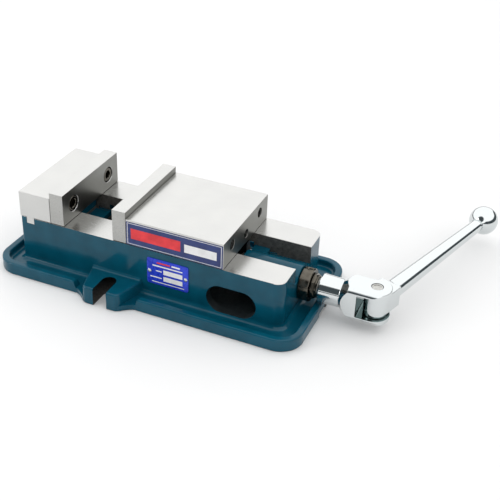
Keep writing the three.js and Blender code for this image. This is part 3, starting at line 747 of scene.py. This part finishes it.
def makeLockRing():
    size = {"step": 296, "nose": 13, "bore": 11.3, "flats": 8, "flatDepth": 0.9}
    x, y, z = span("lock_ring")
    radius = (y[1] - y[0]) / 2
    step, nose = size["step"], size["nose"]
    ring = addTurned("lockRing", [
        (x[0], radius - 0.8), (x[0] + 0.8, radius), (step - 1.2, radius), (step, radius - 1.2),
        (step + 0.01, nose), (x[1] - 0.8, nose), (x[1], nose - 0.8)], 96, (0, axisZ))
    for i in range(size["flats"]):
        flat = addBlock("flat", (x[0] + 1.4, step + 0.2), (-8, 8), (radius - size["flatDepth"], radius + 5))
        place(flat, moved(0, 0, axisZ) @ turned(45 * i + 22.5, "X"))
        combine(ring, flat)
    combine(ring, addRod("bore", "x", size["bore"], x[0] - 1, x[1] + 1, (0, axisZ), 64))
    finishPiece(ring, "screw", ["lock_ring"], [finishes["oxide"]])


makeLeadScrew()
makeCollar()
makeLockRing()
print("lead screw made")


# Handle
pinX, pinY, pinZ = middle("fork_pin")


def makeHub():
    size = {"left": 301, "neck": 17.3, "neckEnd": 16.6, "neckX": 327.5, "shoulderX": 337, "big": 24.6,
            "halfWidth": 18.8, "halfHeight": 21, "end": 382.5, "rootX": 347.6, "halfGap": 14.4,
            "socket": 19.7, "socketX": 326, "pinHole": 7.0, "edge": 1.6}
    left, neck, neckX, neckEnd = size["left"], size["neck"], size["neckX"], size["neckEnd"]
    shoulderX, big = size["shoulderX"], size["big"]
    hub = addTurned("handleHub", [
        (left, neck - 1.4), (left + 0.4, neck - 0.5), (left + 1.4, neck),
        (neckX - 1.5, neckEnd), (neckX, neckEnd + 0.4), (neckX + 1, neckEnd + 1.2),
        (shoulderX - 1.2, big - 0.9), (shoulderX - 0.2, big - 0.2),
        (shoulderX + 1, big), (size["end"] + 5, big)], 128, (0, axisZ))
    block = addBlock("block", (size["left"] - 1, size["end"]), (-size["halfWidth"], size["halfWidth"]),
                     (axisZ - size["halfHeight"], axisZ + size["halfHeight"]))
    bevelEdges(block, lambda a, b: upright(a, b) and a.x > 350, size["halfWidth"] - 0.05, 24)
    # the long edges and the round end, but not the edges hidden at the neck
    bevelEdges(block, lambda a, b: abs(a.z - b.z) < 0.01 and abs(a.x + b.x) > 650, size["edge"], 5)
    combine(hub, block, "INTERSECT")
    gap = addBlock("gap", (size["rootX"], size["end"] + 5), (-30, 30),
                   (axisZ - size["halfGap"], axisZ + size["halfGap"]))
    bevelEdges(gap, lambda a, b: max(a.x, b.x) < size["rootX"] + 0.1, size["edge"], 4)
    combine(hub, gap)
    softenAll(hub, 0.6, 3, 24)
    combine(hub, addRod("pinHole", "z", size["pinHole"], axisZ - 30, axisZ + 30, (pinX, 0), 48))
    combine(hub, addHex("driveSocket", size["socket"], size["left"] - 1, size["socketX"], (0, axisZ)))
    finishPiece(hub, "handle", ["handle_hub"], [finishes["chrome"], finishes["chromeGapShade"]], 40)
    # faces inside the fork gap take the dark chrome as painted shade
    paintFaces(hub, 1, lambda c, n: c.x > size["rootX"] - 0.1 and abs(c.z - axisZ) < size["halfGap"] + 0.1
               and (n.x > 0.3 or abs(n.z) > 0.9))


def makeForkPin():
    size = {"radius": 6.4, "halfLength": 20.8, "dimple": 4.6, "dimpleZ": 20.5, "dimpleHalf": 0.4}
    half = size["halfLength"]
    pin = addRod("forkPin", "z", size["radius"], axisZ - half, axisZ + half, (pinX, 0), 64)
    bevelEdges(pin, lambda a, b: abs(a.z - b.z) < 0.01, 0.5, 3)
    for face in (1, -1):
        z = axisZ + face * size["dimpleZ"]
        combine(pin, addRod("dimple", "z", size["dimple"], z - size["dimpleHalf"], z + size["dimpleHalf"],
                            (pinX, 0), 48))
    finishPiece(pin, "handle", ["fork_pin"], [finishes["plain"]])


def makeLever():
    size = {"angle": 73, "eye": 13.6, "halfHeight": 13.7, "tangHalf": 13.6, "tangEnd": 30, "tangZ": 12.9,
            "rodStart": 34, "root": 11, "tip": 8, "rodEnd": 231, "eyeHole": 6.7,
            "ball": 18.2, "ballX": 246.5, "ballMouth": 7.9, "ballSteps": 32}
    swing = moved(pinX, pinY, pinZ) @ turned(size["angle"], "Z")
    lever = addRod("handleLever", "z", size["eye"], -size["halfHeight"], size["halfHeight"], (0, 0), 96)
    bevelEdges(lever, lambda a, b: abs(a.z - b.z) < 0.01, 1.2, 4)
    tang = addBlock("tang", (0, size["tangEnd"]), (-size["tangHalf"], size["tangHalf"]),
                    (-size["tangZ"], size["tangZ"]))
    bevelEdges(tang, lambda a, b: min(a.x, b.x) > size["tangEnd"] - 0.1, 2.2, 4)
    bevelEdges(tang, lambda a, b: abs(a.x - b.x) > 5, 1.6, 4)
    combine(lever, tang, "UNION")
    root, tip, rodEnd, tangEnd = size["root"], size["tip"], size["rodEnd"], size["tangEnd"]
    rod = addTurned("rod", [
        (10, root + 1), (tangEnd - 1, root + 1.6), (tangEnd + 1, root + 0.7),
        (size["rodStart"], root), (rodEnd, tip), (rodEnd + 4, tip - 0.2)], 96)
    combine(lever, rod, "UNION")
    softenAll(lever, 0.7, 3, 28)
    combine(lever, addRod("eyeHole", "z", size["eyeHole"], -20, 20, (0, 0), 48))
    place(lever, swing)
    finishPiece(lever, "lever", ["handle_lever"], [finishes["chrome"]], 40)

    # the ball starts at its flat mouth on the rod and closes at its far pole
    rings = []
    start = math.asin(size["ballMouth"] / size["ball"])
    for i in range(size["ballSteps"] + 1):
        a = start + (math.pi - start - 0.02) * i / size["ballSteps"]
        rings.append((size["ballX"] - size["ball"] * math.cos(a), size["ball"] * math.sin(a)))
    ball = addTurned("ballKnob", [(rings[0][0] + 0.8, 7.0)] + rings, 64)
    place(ball, swing)
    finishPiece(ball, "lever", ["ball_knob"], [finishes["chrome"]], 60)


makeHub()
makeForkPin()
makeLever()
print("handle made")


# Plates with printing
def cutGrid(piece, xs, zs):
    # straight cuts across the front, so that each field has faces of its own
    activate(piece)
    bpy.ops.object.mode_set(mode="EDIT")
    for values, normal in ((xs, (1, 0, 0)), (zs, (0, 0, 1))):
        for value in values:
            bpy.ops.mesh.select_all(action="SELECT")
            bpy.ops.mesh.bisect(plane_co=Vector(normal) * value * mm, plane_no=normal)
    bpy.ops.object.mode_set(mode="OBJECT")


def printFields(piece, x, z, fields):
    # fields are (left, right, low, high, finish index) as shares of the plate
    def across(share):
        return x[0] + share * (x[1] - x[0])

    def upward(share):
        return z[0] + share * (z[1] - z[0])
    cutGrid(piece, sorted({across(v) for f in fields for v in f[:2]}),
            sorted({upward(v) for f in fields for v in f[2:4]}))
    for left, right, low, high, index in fields:
        paintFaces(piece, index, lambda c, n: n.y < -0.9 and across(left) < c.x < across(right)
                   and upward(low) < c.z < upward(high))


def makeNameplate():
    # two blank fields beside short printed bars, in place of any wording
    fields = [
        (0.24, 0.56, 0.84, 0.90, 2), (0.60, 0.80, 0.84, 0.90, 1), (0.14, 0.86, 0.72, 0.77, 1),
        (0.40, 0.86, 0.46, 0.64, 1), (0.40, 0.86, 0.20, 0.38, 1),
        (0.22, 0.36, 0.53, 0.57, 1), (0.08, 0.36, 0.27, 0.31, 1), (0.12, 0.90, 0.09, 0.12, 1),
    ]
    x, y, z = span("nameplate")
    label = addBlock("namePlate", x, y, z)
    bevelEdges(label, lambda a, b: abs(a.y - b.y) > 0.1, 2.5, 6)
    bevelEdges(label, lambda a, b: a.y < y[0] + 0.05 and b.y < y[0] + 0.05, 0.25, 2)
    finishPiece(label, "base", ["nameplate"],
                [finishes["blue"], finishes["white"], finishes["red"]])
    printFields(label, x, z, fields)

    for where in ("left", "right"):
        rx, ry, rz = span(f"nameplate_rivet_{where}")
        radius = (rx[1] - rx[0]) / 2
        head = addTurned(f"plateRivet{where.capitalize()}", [
            (0, 0.5), (0.12, 1.1), (0.35, radius * 0.8), (0.6, radius * 0.96), (0.88, radius),
            (0.9, 1.5), (ry[1] - ry[0], 1.4)], 32)
        place(head, moved(sum(rx) / 2, ry[0], sum(rz) / 2) @ turned(90, "Z"))
        finishPiece(head, "base", [f"nameplate_rivet_{where}"], [finishes["aluminium"]])


def makeDecal():
    # plain red and white bands on navy, inside a thin white line
    fields = [
        (0.012, 0.988, 0.035, 0.055, 1), (0.012, 0.988, 0.945, 0.965, 1),
        (0.012, 0.017, 0.035, 0.965, 1), (0.983, 0.988, 0.035, 0.965, 1),
        (0.05, 0.57, 0.28, 0.74, 2), (0.61, 0.94, 0.30, 0.66, 1),
    ]
    x, y, z = span("side_decal")
    decal = addBlock("sideDecal", x, y, z)
    bevelEdges(decal, lambda a, b: abs(a.y - b.y) > 0.05, 0.6, 3)
    finishPiece(decal, "sliding_jaw", ["side_decal"],
                [finishes["navy"], finishes["white"], finishes["red"]])
    printFields(decal, x, z, fields)


makeNameplate()
makeDecal()
print("printed plates made")

# Inner pieces keep their own solids and only take a finish
inner = {
    "castNut": ["jaw_nut"], "plain": ["lock_segment", "thrust_washer_inner", "thrust_washer_outer"],
    "bronze": ["thrust_ball_cage", "screw_bush", "screw_end_bush"],
    "oxide": ["jaw_adjusting_screw", "fixed_jaw_bolt_front", "fixed_jaw_bolt_rear"],
}
for finishName, names in inner.items():
    for node in names:
        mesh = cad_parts[node].data
        mesh.materials.clear()
        mesh.materials.append(finishes[finishName])
print("inner parts finished")


# Floor, light and camera
def makeFloor():
    size = {"half": 9, "colour": (0.80, 0.80, 0.80)}
    deselectAll()
    bpy.ops.mesh.primitive_plane_add(size=size["half"] * 2, location=(0, 0, -0.0003))
    floor = settle(bpy.context.object, "studioFloor")
    finish, shader = newFinish("studioFloor", size["colour"], 0.0, 0.85)
    finish.node_tree.links.new(
        tint(finish, spots(finish, 400), (0.79, 0.79, 0.79), size["colour"]), shader.inputs["Base Color"])
    floor.data.materials.append(finish)


def makeSky():
    # a white studio tent: dark low down, more so on the right, with a dark patch in front
    look = {"strength": 1.45, "patch": (-0.30, -0.80, 0.52), "dark": (0.05, 0.06, 0.065), "white": (1, 1, 1)}
    world = bpy.data.worlds.new("studioTent")
    bpy.context.scene.world = world
    world.use_nodes = True
    nodes, links = world.node_tree.nodes, world.node_tree.links
    background = next(n for n in nodes if n.type == "BACKGROUND")
    background.inputs["Strength"].default_value = look["strength"]
    coords = nodes.new("ShaderNodeTexCoord")
    parts = nodes.new("ShaderNodeSeparateXYZ")
    links.new(coords.outputs["Generated"], parts.inputs["Vector"])

    def remap(source, start, end, low, high):
        step = nodes.new("ShaderNodeMapRange")
        step.interpolation_type = "SMOOTHSTEP"
        for socket, value in (("From Min", start), ("From Max", end), ("To Min", low), ("To Max", high)):
            step.inputs[socket].default_value = value
        links.new(source, step.inputs["Value"])
        return step.outputs["Result"]

    def calculate(operation, first, second):
        step = nodes.new("ShaderNodeMath")
        step.operation = operation
        links.new(first, step.inputs[0])
        links.new(second, step.inputs[1])
        return step.outputs["Value"]

    # height above the edge of the dark band, whose top is higher on the right
    edge = remap(parts.outputs["X"], 0.15, 0.5, 0.11, 0.36)
    low = remap(calculate("SUBTRACT", parts.outputs["Z"], edge), -0.03, 0.03, 0, 1)
    towards = nodes.new("ShaderNodeVectorMath")
    towards.operation = "DOT_PRODUCT"
    towards.inputs[1].default_value = look["patch"]
    links.new(coords.outputs["Generated"], towards.inputs[0])
    patch = remap(towards.outputs["Value"], 0.89, 0.94, 1, 0)
    ramp = nodes.new("ShaderNodeValToRGB")
    ramp.color_ramp.elements[0].color = (*look["dark"], 1)
    ramp.color_ramp.elements[1].color = (*look["white"], 1)
    links.new(calculate("MULTIPLY", low, patch), ramp.inputs["Fac"])
    links.new(ramp.outputs["Color"], background.inputs["Color"])


def addLamp(name, spot, aim, size, power):
    lamp = bpy.data.lights.new(name, "AREA")
    lamp.shape = "RECTANGLE"
    lamp.size, lamp.size_y = size
    lamp.energy = power
    holder = bpy.data.objects.new(name, lamp)
    bpy.context.scene.collection.objects.link(holder)
    holder.location = spot
    holder.rotation_euler = (Vector(aim) - Vector(spot)).to_track_quat("-Z", "Y").to_euler()


def makeCamera():
    view = {"aim": (0.1632, 0.0572, 0.0478), "distance": 1.2003, "azimuth": 23.26, "elevation": 31.16,
            "roll": 1.74, "lens": 70.38, "shift": (0.0359, -0.0481)}
    camera = bpy.data.cameras.new("camera")
    camera.lens = view["lens"]
    camera.sensor_width = 36
    camera.shift_x, camera.shift_y = view["shift"]
    camera.clip_end = 50
    holder = bpy.data.objects.new("camera", camera)
    bpy.context.scene.collection.objects.link(holder)
    facing = turned(view["azimuth"], "Z") @ turned(90 - view["elevation"], "X") @ turned(view["roll"], "Z")
    back = facing @ Vector((0, 0, 1))
    holder.matrix_world = Matrix.Translation(Vector(view["aim"]) + back * view["distance"]) @ facing
    bpy.context.scene.camera = holder


makeFloor()
makeSky()
addLamp("frontLeft", (-1.5, -1.6, 0.9), (0.1, 0, 0.03), (0.9, 0.9), 10)
makeCamera()
bpy.context.scene.view_settings.view_transform = "Standard"
print("stage made")
